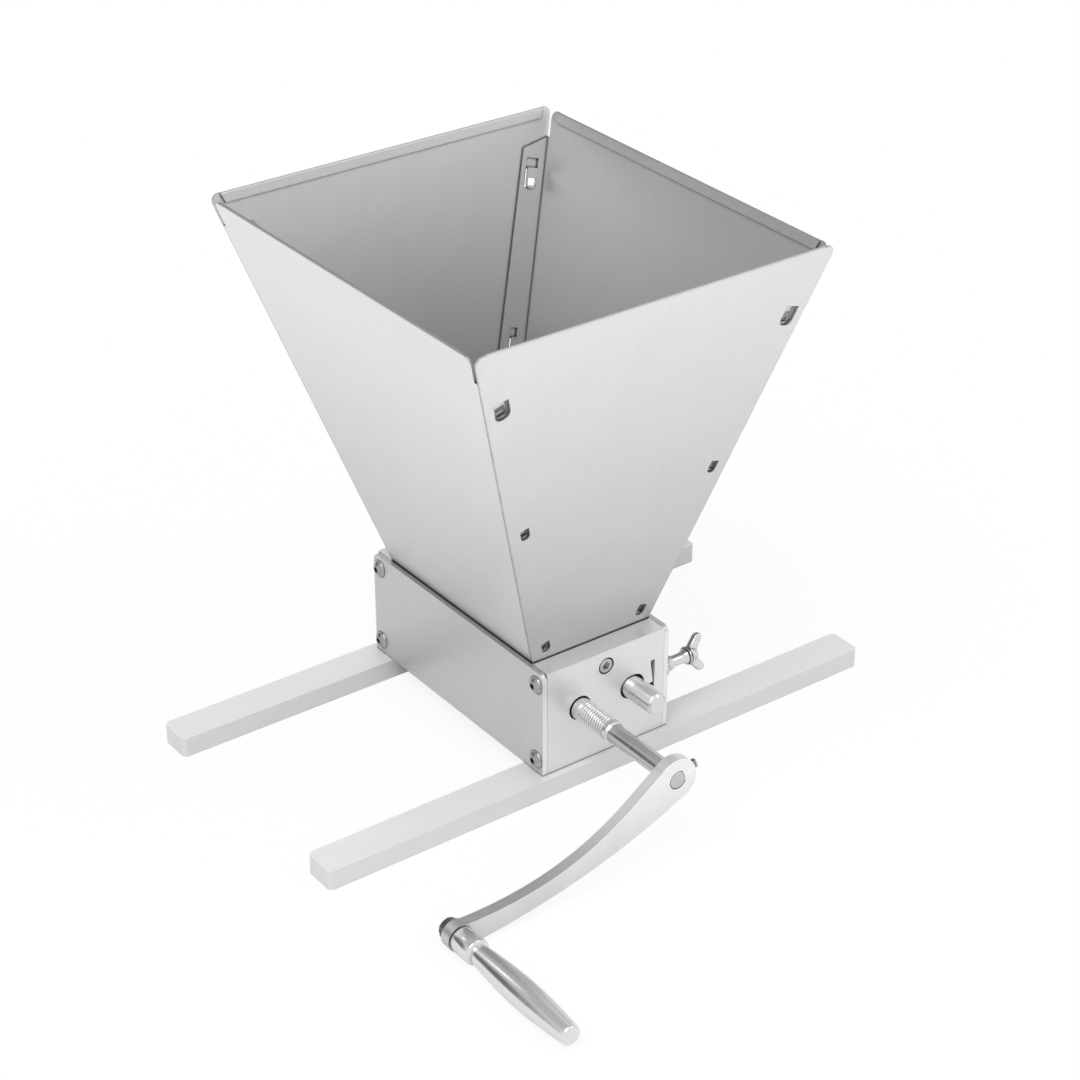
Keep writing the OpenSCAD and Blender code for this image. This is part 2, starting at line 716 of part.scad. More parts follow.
// Arm outline: u from the hub towards the boss, v towards the side that bows out
module arm_outline() {
    steps = 20;
    hub_r = hub_d/2;
    boss_r = boss_d/2;
    bowed = [[0, hub_r*0.95], [crank_r*0.246, arm_bow*0.98],
             [crank_r*0.6, arm_bow*1.05], [crank_r + 1, boss_r*0.9]];
    hollow = [[hub_r*0.53, -hub_r*0.85], [crank_r*0.182, -arm_bow*0.37],
              [crank_r*0.449, arm_bow*1.04], [crank_r - 1, -boss_r*0.9]];
    translate([hub_shift, 0]) circle(r = hub_r);
    translate([crank_r, 0]) circle(r = boss_r);
    polygon(concat([for (i = [0:steps]) curve(hollow, i/steps)],
                   [for (i = [steps:-1:0]) curve(bowed, i/steps)]));
}

// Places things at the hub with u along the arm, v downwards across it and y up to the viewer
module in_crank() {
    translate([-roller_x, arm_y1, axis_z]) rotate([0, -crank_drop, 0]) rotate([90, 0, 0]) scale([-1, 1, 1])
        children();
}

module crank_arm() {
    bore_d = drive_end_d + 2*flat_clear;
    color("whitesmoke")
    difference() {
        in_crank() difference() {
            linear_extrude(arm_t) scale([1, -1]) arm_outline();
            translate([crank_r, 0, -1]) cylinder(d = pin_d + 2*screw_gap, h = arm_t + 2);
        }
        // bore with the same flat as the shaft
        translate([-roller_x, 0, axis_z]) difference() {
            rod_y(0, hub_y - 1, 0, bore_d, arm_t + 2);
            rotate([0, -crank_drop, 0])
                translate([drive_end_d/2 - drive_flat + flat_clear, hub_y - 2, -drive_end_d])
                cube([drive_end_d, arm_t + 4, 2*drive_end_d]);
        }
        translate([-roller_x, hub_y + arm_t/2, axis_z]) rotate([0, -crank_drop, 0])
            rod_x(0, 0, 0, set_screw_d + 2*screw_gap, hub_d);
    }
}

module crank_set_screw() {
    start = drive_end_d/2 - drive_flat + 0.05;
    stand_out = 2.5 - hub_shift;
    color("silver")
    translate([-roller_x, hub_y + arm_t/2, axis_z]) rotate([0, -crank_drop, 0]) difference() {
        rod_x(start, 0, 0, set_screw_d, hub_d/2 + stand_out - start);
        translate([hub_d/2 + stand_out - 2, 0, 0]) rotate([0, 90, 0])
            cylinder(d = 2.5/cos(30), h = 3, $fn = 6);
    }
}

module handle_pin() {
    pin_head_l = 3;
    head_y = hub_y - grip_gap - grip_l + pin_head_in;
    color("silver")
    translate([pin_x, 0, pin_z]) {
        rod_y(0, head_y, 0, pin_d, arm_y1 + crank_nut_h + 1 - head_y);
        rod_y(0, head_y, 0, pin_head_d, pin_head_l);
    }
}

module handle_nut() {
    color("silver")
    difference() {
        hex_y(pin_x, arm_y1, pin_z, crank_nut_af, crank_nut_h);
        rod_y(pin_x, arm_y1 - 1, pin_z, pin_d + 2*screw_gap, crank_nut_h + 2);
    }
}

// Turned grip that spins on the pin: collar, neck, swelling and a flat end
module handle_grip() {
    steps = 14;
    neck_r = collar_d/2 - 1.5;
    bulge = function (t) neck_r + (grip_d/2 - neck_r)*sin(180*t);
    from = collar_l + 2;
    cavity_r = pin_head_d/2 + 0.4;
    cavity_l = 9.6;
    color("silver")
    translate([pin_x, hub_y - grip_gap, pin_z]) rotate([90, 0, 0]) difference() {
        rotate_extrude() polygon(concat(
            [[0, 0], [collar_d/2 - 0.4, 0], [collar_d/2, 0.4], [collar_d/2, collar_l - 0.5],
             [collar_d/2 - 0.5, collar_l], [neck_r - 0.5, collar_l + 0.6]],
            [for (i = [0:steps]) let (t = i/steps) [bulge(t), from + (grip_l - 1.2 - from)*t]],
            [[neck_r - 1, grip_l], [0, grip_l]]));
        translate([0, 0, -1]) cylinder(d = pin_d + 2*run_gap, h = grip_l - 4);
        translate([0, 0, grip_l - 2 - cavity_l]) cylinder(r = cavity_r, h = cavity_l);
    }
}

end_plate(true);  // front_end_plate
end_plate(false);  // rear_end_plate
side_plate(-1);  // left_side_plate
side_plate(1);  // right_side_plate
plate_screws(-1);  // left_plate_screws
plate_screws(1);  // right_plate_screws
base_bar(true);  // front_base_bar
base_bar(false);  // rear_base_bar
base_bar_screws();
hopper_end_panel(true);  // hopper_front_panel
hopper_end_panel(false);  // hopper_rear_panel
hopper_side_panel(-1);  // hopper_left_panel
hopper_side_panel(1);  // hopper_right_panel
hopper_screws();
hopper_nuts();
drive_bush(true);  // front_drive_bush
drive_bush(false);  // rear_drive_bush
drive_roller();
thrust_washers(-roller_x);  // drive_thrust_washers
adjustable_roller();
thrust_washers(roller_x);  // adjustable_thrust_washers
bearing_block(true);  // front_bearing_block
bearing_block(false);  // rear_bearing_block
wing_screw(true);  // front_wing_screw
wing_screw(false);  // rear_wing_screw
guide_bush(true);  // front_screw_guide
guide_bush(false);  // rear_screw_guide
crank_arm();
crank_set_screw();
handle_pin();
handle_nut();
handle_grip();
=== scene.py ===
import math

import bmesh
import bpy
from mathutils import Matrix, Vector


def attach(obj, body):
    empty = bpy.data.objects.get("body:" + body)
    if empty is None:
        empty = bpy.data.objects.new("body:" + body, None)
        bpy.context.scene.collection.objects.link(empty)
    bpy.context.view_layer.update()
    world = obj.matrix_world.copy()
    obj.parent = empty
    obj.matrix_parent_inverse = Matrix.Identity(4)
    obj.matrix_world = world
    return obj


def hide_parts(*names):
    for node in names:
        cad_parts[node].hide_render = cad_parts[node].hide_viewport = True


bl_info = {
    "name": "Grain roller mill",
    "version": (1, 0, 0),
    "blender": (4, 5, 0),
    "location": "3D View > Sidebar > Mill",
    "description": "Dresses a hand cranked grain mill: knurled rollers, threads, hopper and metal finishes",
    "category": "Object",
}

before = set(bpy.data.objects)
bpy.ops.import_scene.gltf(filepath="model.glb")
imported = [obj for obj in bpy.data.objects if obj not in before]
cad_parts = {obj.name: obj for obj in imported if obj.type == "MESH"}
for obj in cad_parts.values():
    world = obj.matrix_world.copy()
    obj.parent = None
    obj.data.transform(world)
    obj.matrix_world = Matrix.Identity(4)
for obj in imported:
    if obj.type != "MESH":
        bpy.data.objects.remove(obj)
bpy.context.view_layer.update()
MM = 0.001

# Where the source puts things, in millimetres: the rollers lie along Y, the crank is at -Y and the wing
# screws at +X. Each barrel reaches BARREL_HALF to both sides of the middle. The drive shaft steps down at
# DRIVE_STEP_Y, and its seat in the crank arm has a flat SEAT_FLAT from the axis. The arm's front is at
# HUB_Y, and it drops by CRANK_DROP.
ROLLER_X = 16.5
AXIS_Z = 43.5
BARREL_R = 16.0
BARREL_HALF = 61.5
SHAFT_R = 6.0
SHAFT_REAR_Y = 75.0
DRIVE_STEP_Y = -104.6
STUB_END_Y = -97.5
JOURNAL_R = 5.0
SEAT_R = 4.6
SEAT_FLAT = 4.1
HUB_Y = -154.5
CRANK_R = 133.5
CRANK_DROP = math.radians(15.6442)
PIN_X = -ROLLER_X - CRANK_R * math.cos(CRANK_DROP)
PIN_Z = AXIS_Z - CRANK_R * math.sin(CRANK_DROP)
WING_Y = 69.75
WING_X = 57.0
WING_PITCH = 1.0
SET_SCREW_PITCH = 0.8

# Least angle between faces that reads as an edge, in degrees: as a rule, on the wing screws, where only
# square edges count, and on knurling. Then the most that a face may bend and still be flat
EDGE_ANGLE = 35
WING_EDGE_ANGLE = 40
SQUARE_EDGE_ANGLE = 60
KNURL_EDGE_ANGLE = 60
FLAT_WITHIN = 0.5

# The side plates' broken edges as a share of the end plates', and the widths of smaller ones, in millimetres
SIDE_PLATE_SHARE = 0.8
FINE_EDGE = 0.12
BEARING_EDGE = 0.2
PIN_EDGE = 0.3
ARM_EDGE = 0.4

# What counts as one point: in metres on a CAD mesh, in millimetres on a new one, and as a radius
JOIN_WITHIN = 0.000002
DOUBLE_WITHIN = 0.0005
POINT_R = 0.01

# How much of a metal's colour is left in painted shade, in corners and along the hopper's edges and hems,
# and how much in the painted shade at a foot; what rubbing adds to it; and how deep the grain is, in metres
DARK = 0.12
FOOT_DARK = 0.4
RUBBED_GAIN, RUBBED_LIFT = 1.10, 0.03
GRAIN_DEPTH = 0.00002

# The studio, in metres and degrees: the camera, the floor, where the dark cloth hangs and how soft its edge
# is, where the tent's brightness changes, and where the lamps' light comes from. Two lamps have a share of
# the key's strength
CAMERA_AT = (-0.7038, -0.9758, 0.7952)
CAMERA_TURN, CAMERA_FALL = 36.35, 30.02
FLOOR_HALF = 12.0
CLOTH_TOWARDS = (-0.64, 0.75, 0.16)
CLOTH_EDGE = (0.90, 0.98)
CEILING_FRONT_TO_BACK = (-0.4, 0.6)
WALL_TO_CEILING = (0.3, 0.75)
RIM_SHARE, EDGE_SHARE = 0.03, 0.15
KEY_FROM, RIM_FROM, EDGE_FROM = (-0.42, -0.18, 0.88), (-0.27, 0.70, 0.66), (0.51, -0.50, 0.70)
SOFTBOX_AT, SOFTBOX_SIZE = (-0.35, -0.30, 0.35), 0.25


# Settings

def colour_prop(name, text, value):
    return bpy.props.FloatVectorProperty(name=name, description=text, subtype="COLOR", size=3,
                                         min=0.0, max=1.0, default=value)


def length_prop(name, text, value, low, high):
    return bpy.props.FloatProperty(name=name, description=text, unit="LENGTH", subtype="DISTANCE",
                                   default=value * MM, min=low * MM, max=high * MM, precision=5)


class MillFinishes(bpy.types.PropertyGroup):
    """Colours of the mill's metals"""
    plate: colour_prop("End plates", "Milled alloy of the end plates", (0.72, 0.72, 0.72))
    side: colour_prop("Side plates", "Brushed alloy of the side plates", (0.56, 0.56, 0.56))
    side_edge: colour_prop("Side plates' edges", "Sawn edges of the side plates", (0.80, 0.80, 0.80))
    # painted shade on the side plates' tops
    side_top_shade: colour_prop("Side plates' tops", "Top edges of the side plates, under dust", (0.50, 0.50, 0.50))
    bar: colour_prop("Bars", "Satin alloy on top of the base bars", (0.74, 0.74, 0.74))
    # painted shade on the bars' sides
    bar_side_shade: colour_prop("Bars' sides", "Sawn and drawn sides of the base bars", (0.64, 0.64, 0.64))
    sheet: colour_prop("Hopper", "Rolled sheet of the hopper", (0.80, 0.80, 0.80))
    shaft: colour_prop("Shafts", "Turned steel of the rollers and shafts", (0.66, 0.66, 0.66))
    # painted shade: the journal is a darker copy of the shafts' steel
    journal: colour_prop("Crank journal", "Darker ground steel of the drive shaft's end", (0.53, 0.53, 0.53))
    polish: colour_prop("Handle", "Polished steel of the handle", (0.72, 0.72, 0.72))
    arm: colour_prop("Crank arm", "Satin steel of the crank arm's faces", (0.86, 0.86, 0.86))
    flank: colour_prop("Crank arm's edges", "Cut edges of the crank arm", (0.74, 0.74, 0.74))
    cast: colour_prop("Wing screws", "Plated steel of the wing screws", (0.68, 0.68, 0.68))
    screw: colour_prop("Screws", "Zinc plated screws", (0.36, 0.36, 0.36))
    nut: colour_prop("Nut", "Blackened steel of the handle's nut", (0.10, 0.10, 0.10))
    bronze: colour_prop("Bronze", "Oiled sintered bronze of the bearings", (0.09, 0.075, 0.06))


class MillSizes(bpy.types.PropertyGroup):
    """Small sizes that only the dressed model has"""
    plate_edge: length_prop("Plate edges", "Width of the broken edges of plates", 0.22, 0.1, 1.0)
    bar_edge: length_prop("Bar edges", "Width of the broken edges of the bars", 0.5, 0.1, 1.5)
    knurl_depth: length_prop("Knurl depth", "Depth of the rollers' crossed knurling", 0.7, 0.2, 0.8)
    knurl_starts: bpy.props.IntProperty(name="Knurl starts", description="Grooves round a roller each way",
                                        default=40, min=24, max=60)
    thread_pitch: length_prop("Thread pitch", "Pitch of the drive shaft's thread", 1.75, 1.0, 2.0)


class MillStage(bpy.types.PropertyGroup):
    """Floor, light and camera"""
    lens: bpy.props.FloatProperty(name="Lens", description="Focal length of the camera", unit="CAMERA",
                                  default=89.76, min=20.0, max=200.0)
    floor: colour_prop("Floor", "Pale floor", (0.82, 0.82, 0.82))
    lift: bpy.props.FloatProperty(name="Floor lift", default=0.88, min=0.0, max=1.0,
                                  description="How far the shadows on the floor are lifted to white")
    horizon: bpy.props.FloatProperty(name="Room low down", default=0.96, min=0.0, max=3.0,
                                     description="Brightness of the tent at eye level")
    ceiling: bpy.props.FloatProperty(name="Room overhead", default=1.05, min=0.0, max=3.0,
                                     description="Brightness of the tent overhead, in front")
    back: bpy.props.FloatProperty(name="Room behind", default=0.55, min=0.0, max=3.0,
                                  description="Brightness of the tent overhead, behind the mill")
    flag: bpy.props.FloatProperty(name="Dark cloth", default=0.80, min=0.0, max=1.0,
                                  description="How much a dark cloth at the left rear takes away")
    key: bpy.props.FloatProperty(name="Key light", default=1.1, min=0.0, max=10.0,
                                 description="Strength of the large overhead light")
    near: bpy.props.FloatProperty(name="Softbox", default=0.15, min=0.0, max=50.0,
                                  description="Power of the softbox at the left front, in watts")


# Node groups

def new_group(name, inputs, outputs):
    """New shader group, and the sockets inside it that read its inputs and set its outputs. It takes a
    position and the inputs, which map names to default values."""
    group = bpy.data.node_groups.new(name, "ShaderNodeTree")
    group.interface.new_socket(name="Position", in_out="INPUT", socket_type="NodeSocketVector")
    for label, default in inputs.items():
        kind = "NodeSocketVector" if isinstance(default, tuple) else "NodeSocketFloat"
        socket = group.interface.new_socket(name=label, in_out="INPUT", socket_type=kind)
        socket.default_value = default
    for label in outputs:
        group.interface.new_socket(name=label, in_out="OUTPUT", socket_type="NodeSocketFloat")
    return group, group.nodes.new("NodeGroupInput").outputs, group.nodes.new("NodeGroupOutput").inputs


def add(tree, kind, settings=None, **inputs):
    """Node with its settings. Inputs take values or sockets: i0, i1 and so on are input numbers, and in a
    name _ stands for a space."""
    node = tree.nodes.new(kind)
    for key, value in (settings or {}).items():
        setattr(node, key, value)
    for key, value in inputs.items():
        numbered = key[0] == "i" and key[1:].isdigit()
        socket = node.inputs[int(key[1:]) if numbered else key.replace("_", " ")]
        if isinstance(value, bpy.types.NodeSocket):
            tree.links.new(value, socket)
        else:
            socket.default_value = value
    return node


def maths(tree, operation, first, second=0.0, clamp=False):
    """Result of a sum or another operation on values or sockets."""
    settings = {"operation": operation, "use_clamp": clamp}
    return add(tree, "ShaderNodeMath", settings, i0=first, i1=second).outputs[0]


def ramp(tree, value, start, end, low=0.0, high=1.0, smooth=False):
    """Value mapped from start..end to low..high, and held there beyond both ends."""
    settings = {"clamp": True}
    if smooth:
        settings["interpolation_type"] = "SMOOTHSTEP"
    return add(tree, "ShaderNodeMapRange", settings, i0=value, i1=start, i2=end, i3=low, i4=high).outputs[0]


def blend_colour(tree, share, first, second):
    """Colour between first and second, which are sockets or plain colours."""
    ends = [end if isinstance(end, bpy.types.NodeSocket) else tuple(end) + (1,) for end in (first, second)]
    return add(tree, "ShaderNodeMix", {"data_type": "RGBA"}, i0=share, i6=ends[0], i7=ends[1]).outputs[2]


def noise(tree, position, **settings):
    """Value of a noise texture."""
    return add(tree, "ShaderNodeTexNoise", {}, Vector=position, **settings).outputs[0]


def openness(tree, reach, inside):
    """How open a point is within reach: inside its own piece, or outside among all the pieces."""
    settings = {"samples": 4, "inside": inside, "only_local": inside}
    return add(tree, "ShaderNodeAmbientOcclusion", settings, Distance=reach).outputs["AO"]


def make_drawn_grain():
    """Drawn or turned lines: fine across, long along."""
    inputs = {"Across": (60.0, 900.0, 900.0), "Depth": 1.0}
    tree, given, result = new_group("Drawn grain", inputs, ["Lines", "Height"])
    stretched = add(tree, "ShaderNodeVectorMath", {"operation": "MULTIPLY"}, i0=given["Position"],
                    i1=given["Across"]).outputs[0]
    lines = ramp(tree, noise(tree, stretched, Scale=1.0, Detail=4.0, Roughness=0.65), 0.3, 0.7)
    tree.links.new(lines, result["Lines"])
    tree.links.new(maths(tree, "MULTIPLY", lines, given["Depth"]), result["Height"])


def make_handling_marks():
    """Cloudy rolling marks and faint fingerprints."""
    tree, given, result = new_group("Handling marks", {"Size": 14.0, "Amount": 1.0}, ["Clouds", "Marks"])
    position, amount = given["Position"], given["Amount"]
    clouds = noise(tree, position, Scale=given["Size"], Detail=5.0, Roughness=0.55)
    tree.links.new(maths(tree, "MULTIPLY", clouds, amount), result["Clouds"])
    patches = noise(tree, position, Scale=maths(tree, "MULTIPLY", given["Size"], 2.3), Detail=2.0)
    whorls = noise(tree, position, Scale=520.0, Detail=3.0, Distortion=1.2)
    marks = maths(tree, "MULTIPLY", ramp(tree, patches, 0.56, 0.70), whorls)
    tree.links.new(maths(tree, "MULTIPLY", marks, amount), result["Marks"])


def make_edge_wear_and_shade():
    """Mask of rubbed edges, with gaps where they are still whole; with a dark colour, as on the hopper, it
    places painted shade along edges and hems.
    """
    tree, given, result = new_group("Edge wear and shade", {"Reach": 0.0012, "Amount": 1.0}, ["Edges"])
    edges = ramp(tree, openness(tree, given["Reach"], True), 0.80, 0.45)
    broken = ramp(tree, noise(tree, given["Position"], Scale=240.0, Detail=4.0), 0.3, 0.6, 0.35)
    worn = maths(tree, "MULTIPLY", edges, broken)
    tree.links.new(maths(tree, "MULTIPLY", worn, given["Amount"], True), result["Edges"])


def make_corner_shade():
    """Painted shade that darkens corners and gaps, where shade falls."""
    inputs = {"Reach": 0.004, "Start": 0.75, "Span": 0.55, "Amount": 1.0}
    tree, given, result = new_group("Corner shade", inputs, ["Grime"])
    darkest = maths(tree, "SUBTRACT", given["Start"], given["Span"])
    dark = ramp(tree, openness(tree, given["Reach"], False), given["Start"], darkest)
    tree.links.new(maths(tree, "MULTIPLY", dark, given["Amount"], True), result["Grime"])


def make_shaded_foot():
    """Painted shade that darkens a piece more and more towards its foot, with a cloudy edge."""
    tree, given, result = new_group("Dulled foot", {"Foot": 0.07, "Top": 0.28, "Amount": 0.3}, ["Dull"])
    height = add(tree, "ShaderNodeSeparateXYZ", {}, i0=given["Position"]).outputs["Z"]
    cloud = maths(tree, "SUBTRACT", noise(tree, given["Position"], Scale=30.0, Detail=4.0), 0.5)
    drifting = maths(tree, "ADD", height, maths(tree, "MULTIPLY", cloud, 0.03))
    foot_shade = ramp(tree, drifting, given["Foot"], given["Top"], 1.0, 0.0)
    tree.links.new(maths(tree, "MULTIPLY", foot_shade, given["Amount"], True), result["Dull"])


def place(tree, name, **inputs):
    """One of the shared groups, in a material."""
    return add(tree, "ShaderNodeGroup", {"node_tree": bpy.data.node_groups[name]}, **inputs).outputs


def shade(colour, share):
    """Colour with every channel times share."""
    return tuple(min(1, channel * share) for channel in colour)


def metal(name, colour, rough, across, lines=0.04, depth=0.6, spread=0.10, marks=0.06, wear_and_shade=0.5, corner_shade=0.35,
          reach=4.0, start=0.75, span=0.55, shine=1.0, flank=None, axis="Y", foot_shade=0.0, foot=0.060, top=0.250,
          rub_and_shade=None, edge_reach=1.2, crown_shade=None):
    """Finished metal: drawn grain, cloudy roughness, rubbed edges and painted shade: in corners, and where
    asked along edges, on faces that look up and towards the foot. rough is its roughness and shine how
    metallic it is.

    across is how many grain lines cross a metre along X, Y and Z, lines how far they stand out in the
    colour and depth in the relief. spread and marks are the clouds and fingerprints in the roughness.
    wear_and_shade is the amount of the edge colour on edges, rub_and_shade that colour, otherwise a brighter
    one for rubbing, and edge_reach its width in millimetres, which stays under the thickness of a sheet; a
    dark rub_and_shade, as on the hopper, is painted shade along edges and hems. corner_shade, start and
    span say how dark the painted shade in corners and gaps gets, and reach how far from them, in
    millimetres. flank is the colour of faces that look away from the axis; on the bars and the wing screws
    it is painted shade. crown_shade is the painted shade of faces that look up; what leans up gets a share
    of it. foot_shade is how much painted shade darkens a piece between the heights top and foot, in metres."""
    if name in bpy.data.materials:
        return
    material = bpy.data.materials.new(name)
    material.use_nodes = True
    tree = material.node_tree
    shader = tree.nodes["Principled BSDF"]
    at = tree.nodes.new("ShaderNodeTexCoord").outputs
    position = at["Object"]

    def facing(letter):
        return add(tree, "ShaderNodeSeparateXYZ", {}, i0=at["Normal"]).outputs[letter]

    grain = place(tree, "Drawn grain", Position=position, Across=across, Depth=1.0)
    hand = place(tree, "Handling marks", Position=position, Size=14.0, Amount=1.0)
    edge = place(tree, "Edge wear and shade", Position=position, Reach=edge_reach * MM, Amount=wear_and_shade)
    corner_dark = place(tree, "Corner shade", Position=position, Reach=reach * MM, Start=start, Span=span,
                 Amount=corner_shade)
    tone = blend_colour(tree, grain["Lines"], shade(colour, 1 - lines), shade(colour, 1 + lines))
    if rub_and_shade is None:
        rub_and_shade = tuple(min(1, channel * RUBBED_GAIN + RUBBED_LIFT) for channel in colour)
    # a dark edge colour, as on the hopper, is painted shade along edges and hems
    tone = blend_colour(tree, edge["Edges"], tone, rub_and_shade)
    # on the bars and the wing screws the flank colour is painted shade on their sides
    if flank is not None:
        aside = ramp(tree, maths(tree, "ABSOLUTE", facing(axis)), 0.25, 0.65, 1.0, 0.0)
        tone = blend_colour(tree, aside, tone, flank)
    # painted shade on faces that look up
    if crown_shade is not None:
        tone = blend_colour(tree, ramp(tree, facing("Z"), 0.0, 0.95), tone, crown_shade)
    # painted shade: darker towards the foot, with a cloudy edge
    if foot_shade:
        foot_mask = place(tree, "Dulled foot", Position=position, Foot=foot, Top=top, Amount=foot_shade)
        tone = blend_colour(tree, foot_mask["Dull"], tone, shade(colour, FOOT_DARK))
    # painted shade: darker in corners and gaps, where shade falls
    tone = blend_colour(tree, corner_dark["Grime"], tone, shade(colour, DARK))
    tree.links.new(tone, shader.inputs["Base Color"])
    shader.inputs["Metallic"].default_value = shine
    cloud = add(tree, "ShaderNodeMath", {"operation": "MULTIPLY_ADD"}, i0=hand["Clouds"], i1=spread,
                i2=rough - spread / 2).outputs[0]
    smear = maths(tree, "MULTIPLY", hand["Marks"], marks * 2)
    streak = maths(tree, "MULTIPLY", grain["Lines"], lines)
    total = maths(tree, "ADD", maths(tree, "ADD", cloud, smear), streak, True)
    tree.links.new(total, shader.inputs["Roughness"])
    bump = add(tree, "ShaderNodeBump", {}, Strength=depth, Distance=GRAIN_DEPTH, Height=grain["Height"])
    tree.links.new(bump.outputs[0], shader.inputs["Normal"])


# Helpers for pieces

def dress(node, material, edge, segments=2, whole=True, full=False, sharp=EDGE_ANGLE):
    """Gives a CAD node its finish, and breaks its sharp edges without touching its mesh. edge is the width,
    in metres. whole joins the flat triangles first, which keeps the broken edges clean; the folded hopper
    panels go without it. full keeps the width the same beside small holes, and sharp is the least angle of
    an edge that is broken: a large one leaves countersinks alone."""
    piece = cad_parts[node]
    piece.data.materials.clear()
    piece.data.materials.append(material)
    weld = piece.modifiers.new("Join", "WELD")
    weld.merge_threshold = JOIN_WITHIN
    if whole:
        flat = piece.modifiers.new("Whole faces", "DECIMATE")
        flat.decimate_type = "DISSOLVE"
        flat.angle_limit = math.radians(FLAT_WITHIN)
    bevel = piece.modifiers.new("Broken edges", "BEVEL")
    bevel.width = edge
    bevel.segments = segments
    bevel.limit_method = "ANGLE"
    bevel.angle_limit = math.radians(sharp)
    bevel.miter_outer = "MITER_ARC"
    bevel.use_clamp_overlap = not full
    smooth = piece.modifiers.new("Smooth faces", "WEIGHTED_NORMAL")
    smooth.keep_sharp = False


def piece_from(name, build, material, body, replaced=(), sharp=EDGE_ANGLE):
    """New object from a bmesh in millimetres, riding on a body. Edges over the angle sharp stay crisp."""
    mesh = bpy.data.meshes.new(name)
    bm = bmesh.new()
    build(bm)
    bmesh.ops.remove_doubles(bm, verts=bm.verts, dist=DOUBLE_WITHIN)
    bmesh.ops.recalc_face_normals(bm, faces=bm.faces)
    bmesh.ops.scale(bm, vec=(MM, MM, MM), verts=bm.verts)
    for face in bm.faces:
        face.smooth = True
    for edge in bm.edges:
        if len(edge.link_faces) == 2 and edge.calc_face_angle() > math.radians(sharp):
            edge.smooth = False
    bm.to_mesh(mesh)
    bm.free()
    piece = bpy.data.objects.new(name, mesh)
    bpy.context.scene.collection.objects.link(piece)
    mesh.materials.append(material)
    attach(piece, body)
    if replaced:
        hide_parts(*replaced)


def skin(bm, rings):
    """Quads between rings of vertices; each ring closes on itself."""
    for lower, upper in zip(rings, rings[1:]):
        for here in range(len(lower)):
            there = (here + 1) % len(lower)
            bm.faces.new([lower[here], lower[there], upper[there], upper[here]])


def along_y(x, z):
    """Frame for lathe work along Y: local Z runs along +Y through (x, z)."""
    return Matrix(((1, 0, 0, x), (0, 0, 1, 0), (0, 1, 0, z), (0, 0, 0, 1)))


def along_x(y, z):
    """Frame for lathe work along X: local Z runs along +X through (y, z)."""
    return Matrix(((0, 0, 1, 0), (1, 0, 0, y), (0, 1, 0, z), (0, 0, 0, 1)))


def turned(bm, frame_at, rows, sides, shape=None):
    """Lathe work: rows are (position, radius) along the frame's Z, and shape(position, angle, radius) may
    change a radius. Both ends are closed by a flat face, unless they come to a point."""
    rings = []
    for position, radius in rows:
        ring = []
        for side in range(sides):
            angle = 2 * math.pi * side / sides
            out = shape(position, angle, radius) if shape else radius
            point = Vector((out * math.cos(angle), out * math.sin(angle), position))
            ring.append(bm.verts.new(frame_at @ point))
        rings.append(ring)
    skin(bm, rings)
    for ring, radius in ((rings[0], rows[0][1]), (rings[-1], rows[-1][1])):
        if radius > POINT_R:
            bm.faces.new(ring)
    return rings


def hexagon(angle, flats):
    """Radius of a hexagon with this width across its flats, with a corner at angle 0."""
    return flats / 2 / math.cos((angle + math.pi / 6) % (math.pi / 3) - math.pi / 6)


def smooth_loop(points, per_point=6):
    """Closed smooth curve through points in a plane, with per_point points for each of them."""
    count, curve = len(points), []
    for first in range(-1, count - 1):
        before, here, there, after = (Vector(points[(first + step) % count]) for step in range(4))
        for part in range(per_point):
            share = part / per_point
            curve.append(0.5 * (2 * here + (there - before) * share
                                + (2 * before - 5 * here + 4 * there - after) * share * share
                                + (3 * here - before - 3 * there + after) * share ** 3))
    return curve


def inset_loop(loop, amount):
    """Loop moved inwards by amount, for a counter-clockwise loop."""
    inner = []
    for index, point in enumerate(loop):
        along = (loop[(index + 1) % len(loop)] - loop[index - 1]).normalized()
        inner.append(point + Vector((-along.y, along.x)) * amount)
    return inner


def slab(bm, frame_at, loop, layers):
    """Solid from a plane loop: layers are (height, inset) from bottom to top."""
    rings = []
    for height, amount in layers:
        inner = inset_loop(loop, amount)
        rings.append([bm.verts.new(frame_at @ Vector((point.x, point.y, height))) for point in inner])
    skin(bm, rings)
    bm.faces.new(rings[0])
    bm.faces.new(rings[-1])


def steps(start, end, count):
    """Values from start to end, in count even steps."""
    return [start + (end - start) * step / count for step in range(count + 1)]


def wave(turns):
    """Triangle wave from 0 to 1 with rounded tips, once each turn."""
    rise = 1 - abs(2 * (turns % 1.0) - 1)
    return rise * rise * (3 - 2 * rise)


def thread_rows(start, end, radius, pitch, per_turn=8):
    """Lathe rows close enough for a thread."""
    count = max(1, int(abs(end - start) / pitch * per_turn))
    return [(position, radius) for position in steps(start, end, count)]


def thread_shape(start, end, pitch, depth):
    """Radius of a helical thread between start and end, running out at both ends."""
    low, high = min(start, end), max(start, end)

    def shape(position, angle, radius):
        if position < low or position > high:
            return radius
        run_out = 0.6 * pitch
        fade = min(1.0, (position - low) / run_out, (high - position) / run_out)
        turn = position / pitch + angle / (2 * math.pi)
        return radius - depth * fade * (1 - wave(turn))
    return shape


